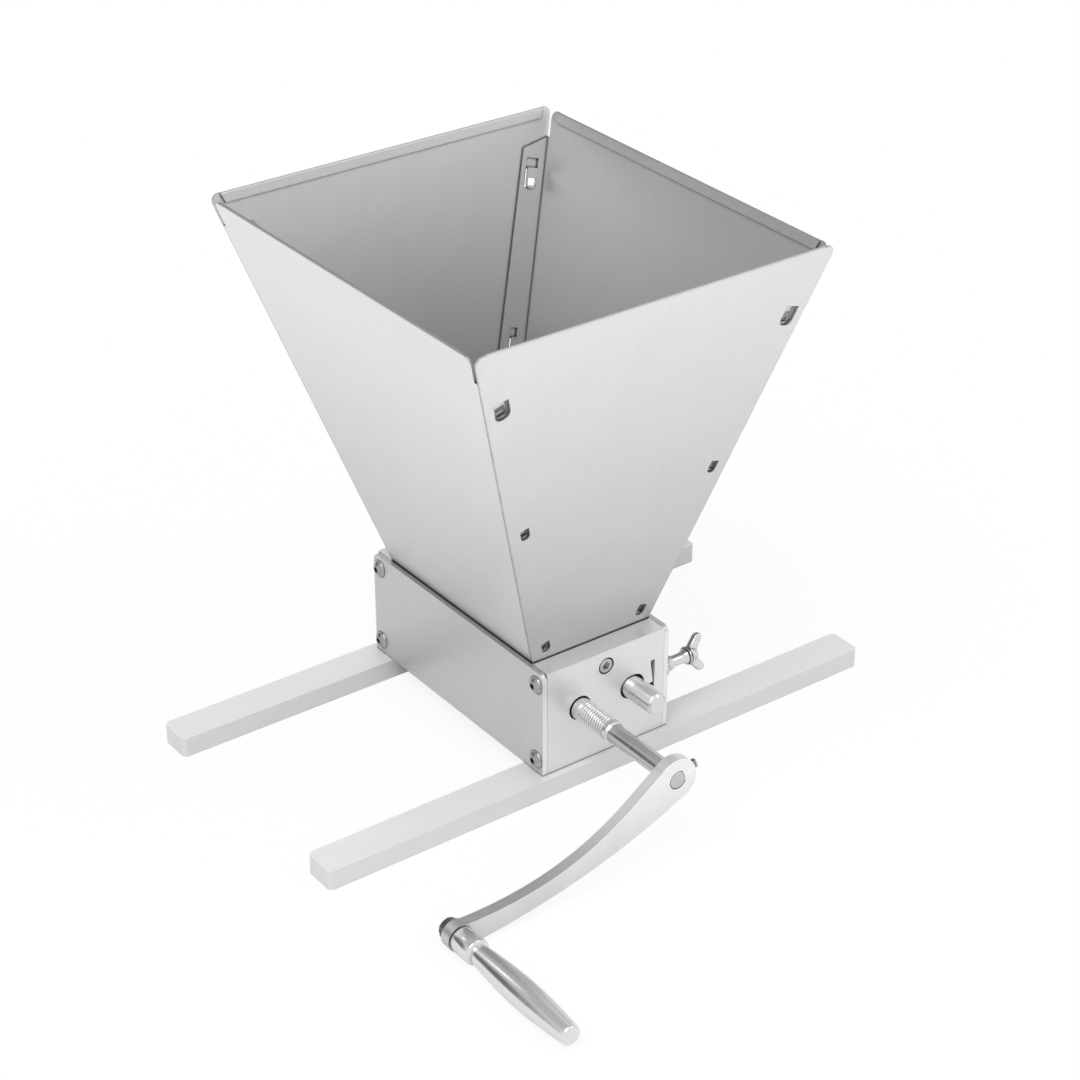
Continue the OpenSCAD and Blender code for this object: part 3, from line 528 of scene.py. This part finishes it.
def knurl(bm, x, sizes):
    """Roller barrel with crossed knurling and bevelled ends. groove_power makes the grooves narrower."""
    starts = sizes.knurl_starts
    depth = sizes.knurl_depth / MM
    shoulder, bevel, land, rows_along, sides_per_groove = 14.6, 0.9, 1.3, 168, 5
    slant, groove_power = math.radians(30), 1.6
    lead = 2 * math.pi * BARREL_R / math.tan(slant)

    def shape(position, angle, radius):
        if radius < BARREL_R:
            return radius
        turn = angle / (2 * math.pi)
        one_way = abs(math.sin(math.pi * starts * (turn + position / lead)))
        other_way = abs(math.sin(math.pi * starts * (turn - position / lead)))
        inner = min(1.0, (BARREL_HALF - abs(position)) / bevel)
        return radius - depth * inner * (1 - min(one_way, other_way)) ** groove_power

    rows = [(-BARREL_HALF, SHAFT_R), (-BARREL_HALF, shoulder), (-BARREL_HALF + bevel, BARREL_R)]
    rows += [(y, BARREL_R) for y in steps(-BARREL_HALF + land, BARREL_HALF - land, rows_along)]
    rows += [(BARREL_HALF - bevel, BARREL_R), (BARREL_HALF, shoulder), (BARREL_HALF, SHAFT_R)]
    turned(bm, along_y(x, AXIS_Z), rows, starts * sides_per_groove, shape)


# Operators, one for each group of pieces and one for the stage

class MILL_OT_finishes(bpy.types.Operator):
    """Make the shared grain, marks, wear and painted shade, and every metal of the mill"""
    bl_idname = "mill.finishes"
    bl_label = "Metals"

    def execute(self, context):
        colours = context.scene.mill_finishes
        for make in (make_drawn_grain, make_handling_marks, make_edge_wear_and_shade, make_corner_shade,
                     make_shaded_foot):
            make()
        self.body(colours)
        self.hopper(colours)
        self.turned(colours)
        self.small(colours)
        return {"FINISHED"}

    def body(self, colours):
        """Metals of the plates and bars."""
        plates = dict(rough=0.36, lines=0.015, depth=0.4, corner_shade=1.0, reach=0.9, start=0.95, span=0.25)
        # the side plates' tops get painted shade
        metal("plate along", colours.side, across=(900, 40, 900), shine=0.8, flank=colours.side_edge,
              axis="X", crown_shade=colours.side_top_shade, **plates)
        metal("plate across", colours.plate, across=(40, 900, 900), shine=0.6, **plates)
        # the bars' sides get painted shade
        metal("bar satin", colours.bar, rough=0.42, across=(30, 1200, 1200), lines=0.015, depth=0.4,
              corner_shade=0.3, reach=2.0, shine=0.25, flank=colours.bar_side_shade, axis="Z")

    def hopper(self, colours):
        """Metals of the hopper's panels: drawn along their width, with painted shade along the hems and
        edges, on faces that look up and towards the foot.
        """
        sheet = colours.sheet
        # the hopper's dark edge colour is painted shade along its edges and hems
        panels = dict(rough=0.44, lines=0.02, depth=0.35, wear_and_shade=1.0, corner_shade=0.95, reach=1.6, start=0.90,
                      span=0.4, rub_and_shade=shade(sheet, DARK), edge_reach=0.5)
        # the hopper's faces that look up get painted shade
        ends = dict(across=(1100, 50, 50), crown_shade=shade(sheet, 0.6), **panels)
        sides = dict(across=(50, 1100, 50), crown_shade=shade(sheet, 0.4), **panels)
        # painted shade towards each panel's foot
        metal("hopper front", sheet, foot_shade=0.60, top=0.285, **ends)
        metal("hopper rear", sheet, foot_shade=0.45, **ends)
        metal("hopper left", sheet, foot_shade=0.45, **sides)
        metal("hopper right", sheet, foot_shade=0.28, **sides)

    def turned(self, colours):
        """Metals of the rollers, the shafts and the crank."""
        shafts = dict(across=(60, 2600, 60), lines=0.06, spread=0.08)
        metal("shaft turned", colours.shaft, rough=0.17, depth=0.3, corner_shade=1.0, reach=1.0, start=0.92,
              **shafts)
        # painted shade: a darker copy of the shafts' steel
        metal("journal shaded", colours.journal, rough=0.20, depth=0.25, corner_shade=0.6, reach=2.0, **shafts)
        metal("roller knurled", colours.shaft, rough=0.28, across=(300, 300, 300), lines=0.08, spread=0.12,
              corner_shade=0.7, reach=1.2)
        metal("handle polished", colours.polish, rough=0.16, across=(60, 2200, 60), lines=0.03, depth=0.12,
              spread=0.05, corner_shade=0.6, reach=2.0)
        # painted shade towards the crank arm's foot
        metal("arm satin", colours.arm, rough=0.38, across=(500, 500, 500), lines=0.012, depth=0.3,
              flank=colours.flank, foot_shade=0.45, foot=0.004, top=0.046)

    def small(self, colours):
        """Metals of the screws, nuts and bearings."""
        metal("wing polished", colours.cast, rough=0.14, across=(400, 400, 400), lines=0.05, depth=0.2,
              # the flank colour is painted shade on the wing screws' sides
              spread=0.08, corner_shade=1.0, reach=1.6, start=0.88, flank=shade(colours.cast, 0.45))
        metal("nut blackened", colours.nut, rough=0.30, across=(300, 300, 300), lines=0.05, depth=0.4,
              corner_shade=0.6, reach=2.0)
        screws = dict(rough=0.22, across=(300, 300, 300), lines=0.05, depth=0.5, corner_shade=1.0)
        metal("screw zinc", colours.screw, reach=3.0, **screws)
        metal("cap screw bright", shade(colours.screw, 1.7), reach=2.0, **screws)
        metal("bearing bronze", colours.bronze, rough=0.34, across=(700, 700, 700), lines=0.12, depth=0.8,
              spread=0.14, corner_shade=1.0, start=0.97)


class MILL_OT_stage(bpy.types.Operator):
    """Set up the pale floor, the soft light and the camera"""
    bl_idname = "mill.stage"
    bl_label = "Stage"

    def execute(self, context):
        settings = context.scene.mill_stage
        context.scene.view_settings.view_transform = "Standard"
        self.floor(settings)
        self.room(settings)
        self.lamps(settings)
        self.camera(settings)
        return {"FINISHED"}

    def link(self, name, data):
        """Object for some data, in the scene."""
        thing = bpy.data.objects.new(name, data)
        bpy.context.scene.collection.objects.link(thing)
        return thing

    def floor(self, settings):
        """Pale floor, whose shadows are lifted to white where the camera sees them."""
        mesh = bpy.data.meshes.new("floor")
        corners = [(x * FLOOR_HALF, y * FLOOR_HALF, 0) for x, y in ((-1, -1), (1, -1), (1, 1), (-1, 1))]
        mesh.from_pydata(corners, [], [(0, 1, 2, 3)])
        floor = self.link("floor", mesh)
        material = bpy.data.materials.new("floor pale")
        material.use_nodes = True
        tree = material.node_tree
        shader = tree.nodes["Principled BSDF"]
        grey = add(tree, "ShaderNodeTexNoise", {}, Scale=900.0, Detail=2.0)
        speckle = blend_colour(tree, grey.outputs[0], settings.floor, shade(settings.floor, 1.02))
        tree.links.new(speckle, shader.inputs["Base Color"])
        shader.inputs["Roughness"].default_value = 0.9
        shader.inputs["Specular IOR Level"].default_value = 0.1
        seen = tree.nodes.new("ShaderNodeLightPath").outputs["Is Camera Ray"]
        glow = add(tree, "ShaderNodeEmission", {}, Color=(1, 1, 1, 1), Strength=1.0)
        lifted = add(tree, "ShaderNodeMixShader", {}, i0=maths(tree, "MULTIPLY", seen, settings.lift),
                     i1=shader.outputs[0], i2=glow.outputs[0])
        tree.links.new(lifted.outputs[0], tree.nodes["Material Output"].inputs["Surface"])
        mesh.materials.append(material)

    def room(self, settings):
        """White tent round the mill, darker overhead behind it, with a dark cloth at the left rear."""
        world = bpy.data.worlds.new("studio")
        world.use_nodes = True
        tree = world.node_tree
        direction = tree.nodes.new("ShaderNodeTexCoord").outputs["Generated"]
        along = add(tree, "ShaderNodeSeparateXYZ", {}, i0=direction).outputs
        over = ramp(tree, along["Y"], *CEILING_FRONT_TO_BACK, settings.ceiling, settings.back, smooth=True)
        tent = ramp(tree, along["Z"], *WALL_TO_CEILING, settings.horizon, over, smooth=True)
        toward = add(tree, "ShaderNodeVectorMath", {"operation": "DOT_PRODUCT"}, i0=direction,
                     i1=CLOTH_TOWARDS)
        cloth = ramp(tree, toward.outputs["Value"], *CLOTH_EDGE, 1.0, 1 - settings.flag, smooth=True)
        background = tree.nodes["Background"].inputs
        tree.links.new(maths(tree, "MULTIPLY", tent, cloth), background["Strength"])
        background["Color"].default_value = (1, 1, 1, 1)
        bpy.context.scene.world = world

    def lamps(self, settings):
        """Large overhead light, two faint ones that catch rims and edges, and a softbox."""
        for name, kind, come_from, wide, power in (
                ("key", "SUN", KEY_FROM, 36, settings.key),
                ("rim light", "SUN", RIM_FROM, 12, settings.key * RIM_SHARE),
                ("edge light", "SUN", EDGE_FROM, 14, settings.key * EDGE_SHARE),
                ("softbox", "AREA", SOFTBOX_AT, SOFTBOX_SIZE, settings.near)):
            light = bpy.data.lights.new(name, kind)
            light.energy = power
            if kind == "AREA":
                light.size = wide
            else:
                light.angle = math.radians(wide)
            lamp = self.link(name, light)
            lamp.location = come_from
            lamp.rotation_euler = (-Vector(come_from)).to_track_quat("-Z", "Y").to_euler()

    def camera(self, settings):
        """Camera at the photograph's angle."""
        camera = bpy.data.cameras.new("camera")
        camera.lens = settings.lens
        camera.sensor_width = 36.0
        camera.clip_end = 50.0
        eye = self.link("camera", camera)
        eye.location = CAMERA_AT
        turn, fall = math.radians(CAMERA_TURN), math.radians(CAMERA_FALL)
        look = Vector((math.sin(turn) * math.cos(fall), math.cos(turn) * math.cos(fall), -math.sin(fall)))
        eye.rotation_euler = look.to_track_quat("-Z", "Y").to_euler()
        bpy.context.scene.camera = eye


class MILL_OT_body(bpy.types.Operator):
    """Finish the end plates, side plates and base bars"""
    bl_idname = "mill.body"
    bl_label = "Body and bars"

    def execute(self, context):
        sizes = context.scene.mill_sizes
        metals = bpy.data.materials
        for node in ("front_end_plate", "rear_end_plate"):
            dress(node, metals["plate across"], sizes.plate_edge, full=True)
        for node in ("left_side_plate", "right_side_plate"):
            dress(node, metals["plate along"], sizes.plate_edge * SIDE_PLATE_SHARE, full=True)
        for node in ("front_base_bar", "rear_base_bar"):
            dress(node, metals["bar satin"], sizes.bar_edge, sharp=SQUARE_EDGE_ANGLE)
        return {"FINISHED"}


class MILL_OT_fasteners(bpy.types.Operator):
    """Finish the button head screws, cap screws, bar screws and nuts"""
    bl_idname = "mill.fasteners"
    bl_label = "Fasteners"

    def execute(self, context):
        metals = bpy.data.materials
        for node in ("left_plate_screws", "right_plate_screws", "base_bar_screws", "hopper_nuts"):
            dress(node, metals["screw zinc"], FINE_EDGE * MM)
        dress("hopper_screws", metals["cap screw bright"], FINE_EDGE * MM)
        return {"FINISHED"}


class MILL_OT_hopper(bpy.types.Operator):
    """Finish the four folded hopper panels"""
    bl_idname = "mill.hopper"
    bl_label = "Hopper"

    def execute(self, context):
        metals = bpy.data.materials
        for side in ("front", "rear", "left", "right"):
            dress("hopper_" + side + "_panel", metals["hopper " + side], FINE_EDGE * MM, whole=False)
        return {"FINISHED"}


class MILL_OT_rollers(bpy.types.Operator):
    """Build both knurled rollers with their shafts, and finish the bearings"""
    bl_idname = "mill.rollers"
    bl_label = "Rollers and bearings"

    def execute(self, context):
        sizes = context.scene.mill_sizes
        metals = bpy.data.materials
        pitch = sizes.thread_pitch / MM
        thread_from, thread_to = -80.5, -101.5
        away = Vector((math.cos(CRANK_DROP), math.sin(CRANK_DROP)))
        rear_end = [(SHAFT_REAR_Y - 0.6, SHAFT_R), (SHAFT_REAR_Y, 5.4)]

        def drive_shaft(bm):
            rows = [(DRIVE_STEP_Y, SEAT_R), (DRIVE_STEP_Y, JOURNAL_R), (-104.3, 5.15), (-103.6, 5.9)]
            rows += [(-103.3, SHAFT_R), (-101.6, SHAFT_R)]
            rows += thread_rows(thread_to, thread_from, SHAFT_R, pitch, per_turn=10)
            rows += [(-80.3, SHAFT_R)] + rear_end
            thread = thread_shape(thread_to, thread_from, pitch, depth=0.8)
            turned(bm, along_y(-ROLLER_X, AXIS_Z), rows, 96, thread)

        def journal(bm):
            seat_end = -142.5
            rows = [(HUB_Y, 4.45), (HUB_Y + 0.15, SEAT_R)]
            rows += [(y, SEAT_R) for y in steps(HUB_Y + 1, seat_end, 10)]
            rows += [(seat_end + 0.1, JOURNAL_R), (DRIVE_STEP_Y, JOURNAL_R), (-103.0, SEAT_R)]
            rings = turned(bm, along_y(-ROLLER_X, AXIS_Z), rows, 96)
            # the flat that the set screw sits on
            for point in (vertex.co for ring in rings for vertex in ring if vertex.co.y < seat_end + 0.05):
                out = Vector((point.x + ROLLER_X, point.z - AXIS_Z)).dot(away) - SEAT_FLAT
                if out > 0:
                    point.x -= out * away.x
                    point.z -= out * away.y

        def stub_shaft(bm):
            rows = [(STUB_END_Y, 4.7), (-96.25, 5.85), (-96.0, SHAFT_R)] + rear_end
            turned(bm, along_y(ROLLER_X, AXIS_Z), rows, 96)

        piece_from("drive_roller_barrel", lambda bm: knurl(bm, -ROLLER_X, sizes), metals["roller knurled"],
                   "drive", ["drive_roller"], KNURL_EDGE_ANGLE)
        piece_from("drive_roller_shaft", drive_shaft, metals["shaft turned"], "drive")
        piece_from("drive_shaft_journal", journal, metals["journal shaded"], "drive")
        piece_from("adjustable_roller_barrel", lambda bm: knurl(bm, ROLLER_X, sizes),
                   metals["roller knurled"], "adjustable", ["adjustable_roller"],
                   KNURL_EDGE_ANGLE)
        piece_from("adjustable_roller_shaft", stub_shaft, metals["shaft turned"], "adjustable")
        for node in ("front_drive_bush", "rear_drive_bush", "drive_thrust_washers",
                     "adjustable_thrust_washers", "front_bearing_block", "rear_bearing_block"):
            dress(node, metals["bearing bronze"], BEARING_EDGE * MM)
        return {"FINISHED"}


class MILL_OT_wing_screws(bpy.types.Operator):
    """Finish the wing screws and the flared bushes that guide them"""
    bl_idname = "mill.wing_screws"
    bl_label = "Wing screws"

    def execute(self, context):
        polished = bpy.data.materials["wing polished"]
        for side, word in ((-1, "front"), (1, "rear")):
            piece_from(word + "_wing_screw_cast", lambda bm, side=side: self.screw(bm, side), polished,
                       word + "_screw", [word + "_wing_screw"], WING_EDGE_ANGLE)
        for node in ("front_screw_guide", "rear_screw_guide"):
            dress(node, polished, BEARING_EDGE * MM)
        return {"FINISHED"}

    def screw(self, bm, side):
        """One wing screw: catch head, thread in the end plate, plain shank, ringed collar and two wings."""
        y = side * WING_Y
        thread_from, thread_to, thread_r, shank_r, groove_r = 29.2, 36.6, 2.98, 3.0, 3.9
        # the head and the thread are placed from the body's middle, the shank and the rings from WING_X
        rows = [(23.7, 3.0), (23.95, 3.3), (24.75, 3.3), (25.0, 3.0), (25.0, 2.2), (28.3, 2.2), (28.9, 2.8)]
        rows += thread_rows(thread_from, thread_to, thread_r, WING_PITCH) + [(37.0, thread_r)]
        rows += [(WING_X + along, radius) for along, radius in (
            (-5.4, shank_r), (-3.2, 3.05), (-2.2, 3.4), (-1.5, 3.9), (-0.9, 4.2), (-0.6, groove_r),
            (-0.35, groove_r), (-0.15, 4.6), (0.1, 4.9), (0.6, 4.9), (0.8, 4.6), (0.95, groove_r),
            (1.3, groove_r), (1.45, 4.6), (1.7, 4.8), (2.2, 4.8), (2.5, 4.6), (3.2, 4.2), (4.4, 3.8),
            (5.4, 3.4), (5.9, 3.0), (6.2, 2.3))]
        thread = thread_shape(thread_from, thread_to, WING_PITCH, depth=0.4)
        turned(bm, along_x(y, AXIS_Z), rows, 48, thread)
        # the wings: one half of their outline, from the root inside to the root outside
        half = [(-0.3, 3.2), (0.4, 5.0), (1.9, 6.8), (3.5, 8.5), (4.7, 9.9), (6.4, 10.42), (8.0, 10.05),
                (8.66, 8.8), (8.4, 7.2), (7.3, 5.5), (6.1, 3.9), (5.2, 2.2), (4.9, 0.8)]
        loop = smooth_loop(half + [(along, -across) for along, across in reversed(half)])
        if sum(here.cross(there) for here, there in zip(loop, loop[1:] + loop[:1])) < 0:
            loop.reverse()
        lean, root = math.radians(10.5 * side), WING_X + 1.6
        at = (Matrix.Translation((0, y, AXIS_Z)) @ Matrix.Rotation(lean, 4, "X")
              @ Matrix.Translation((root, 0, 0)) @ Matrix.Rotation(math.radians(90), 4, "X"))
        edge = [(1.9, 1.2), (1.8, 0.75), (1.5, 0.32), (0.9, 0.06)]
        slab(bm, at, loop, [(-up, inset) for up, inset in edge] + [(0.0, 0.0)] + edge[::-1])


class MILL_OT_crank(bpy.types.Operator):
    """Finish the crank arm, its set screw, and the nut and pin of the handle"""
    bl_idname = "mill.crank"
    bl_label = "Crank"

    def execute(self, context):
        metals = bpy.data.materials
        dress("crank_arm", metals["arm satin"], ARM_EDGE * MM, segments=3)
        dress("handle_pin", metals["screw zinc"], PIN_EDGE * MM)
        away = Vector((math.cos(CRANK_DROP), 0, math.sin(CRANK_DROP)))
        turn = away.to_track_quat("Z", "Y").to_matrix().to_4x4()
        at = Matrix.Translation((-ROLLER_X, HUB_Y + 3.0, AXIS_Z)) @ turn

        def set_screw(bm):
            thread_r, key_r, key_flats = 2.48, 1.25, 2.5
            rows = [(3.85, 1.7), (4.1, 2.0), (4.6, thread_r)]
            rows += thread_rows(4.8, 13.2, thread_r, SET_SCREW_PITCH)
            rows += [(13.45, 2.3), (13.7, 2.0), (13.7, key_r), (11.6, key_r), (11.2, POINT_R)]
            thread = thread_shape(4.8, 13.3, SET_SCREW_PITCH, depth=0.38)

            def shape(position, angle, radius):
                return hexagon(angle, key_flats) if radius == key_r else thread(position, angle, radius)

            turned(bm, at, rows, 48, shape)

        def nut(bm):
            # hexed marks the rows that are hexagonal and bevelled towards the top
            low, high, bore, flats, hexed = HUB_Y + 6.0, HUB_Y + 11.4, 2.56, 10.0, 9
            rows = [(low, bore), (low, 4.9), (low + 0.25, hexed), (high - 0.95, hexed), (high - 0.4, 5.05),
                    (high, 4.6), (high - 0.6, bore)]

            def shape(position, angle, radius):
                if radius != hexed:
                    return radius
                return min(hexagon(angle, flats), flats / 2 + (high - position) * 0.9)

            turned(bm, along_y(PIN_X, PIN_Z), rows, 48, shape)

        piece_from("crank_set_screw_threaded", set_screw, metals["wing polished"], "drive",
                   ["crank_set_screw"])
        piece_from("handle_nut_bevelled", nut, metals["nut blackened"], "drive",
                   ["handle_nut"])
        return {"FINISHED"}


class MILL_OT_grip(bpy.types.Operator):
    """Build the turned and polished grip"""
    bl_idname = "mill.grip"
    bl_label = "Grip"

    def execute(self, context):
        start, length, neck, full, ring = HUB_Y - 0.5, 85.5, 5.2, 7.3, 6.7
        body_from, body_length = 15.0, length - 16.2

        def grip(bm):
            rows = [(0.0, 2.6), (0.0, 6.3), (0.12, 6.55), (0.4, ring), (12.4, ring), (12.7, 6.6),
                    (13.0, 6.25), (13.3, 5.6), (13.6, 5.0), (14.0, 4.85), (14.6, 5.0), (body_from, neck)]
            rows += [(body_from + body_length * share, neck + (full - neck) * math.sin(math.pi * share))
                     for share in steps(0.02, 0.985, 46)]
            rows += [(length - 1.1, 5.15), (length - 0.5, 4.85), (length - 0.12, 4.45), (length, 4.2)]
            turned(bm, along_y(PIN_X, PIN_Z), [(start - along, radius) for along, radius in rows], 72)

        piece_from("handle_grip_turned", grip, bpy.data.materials["handle polished"], "grip",
                   ["handle_grip"])
        return {"FINISHED"}


class MILL_PT_panel(bpy.types.Panel):
    """Sidebar panel with every step of the mill"""
    bl_idname = "MILL_PT_panel"
    bl_label = "Grain roller mill"
    bl_space_type = "VIEW_3D"
    bl_region_type = "UI"
    bl_category = "Mill"

    def draw(self, context):
        layout = self.layout
        for title, group in (("Finishes", context.scene.mill_finishes), ("Sizes", context.scene.mill_sizes),
                             ("Stage", context.scene.mill_stage)):
            box = layout.box()
            box.label(text=title)
            for key in group.__annotations__:
                box.prop(group, key)
        for step in STEPS:
            layout.operator(step.bl_idname)


STEPS = (MILL_OT_finishes, MILL_OT_stage, MILL_OT_body, MILL_OT_fasteners, MILL_OT_hopper, MILL_OT_rollers,
         MILL_OT_wing_screws, MILL_OT_crank, MILL_OT_grip)
SETTINGS = {"mill_finishes": MillFinishes, "mill_sizes": MillSizes, "mill_stage": MillStage}


def register():
    for cls in tuple(SETTINGS.values()) + STEPS + (MILL_PT_panel,):
        bpy.utils.register_class(cls)
    for name, cls in SETTINGS.items():
        setattr(bpy.types.Scene, name, bpy.props.PointerProperty(type=cls))


def unregister():
    for name in SETTINGS:
        delattr(bpy.types.Scene, name)
    for cls in reversed(tuple(SETTINGS.values()) + STEPS + (MILL_PT_panel,)):
        bpy.utils.unregister_class(cls)


def main():
    register()
    for step in STEPS:
        group, name = step.bl_idname.split(".")
        getattr(getattr(bpy.ops, group), name)()
    bpy.context.view_layer.update()


if __name__ == "__main__":
    main()
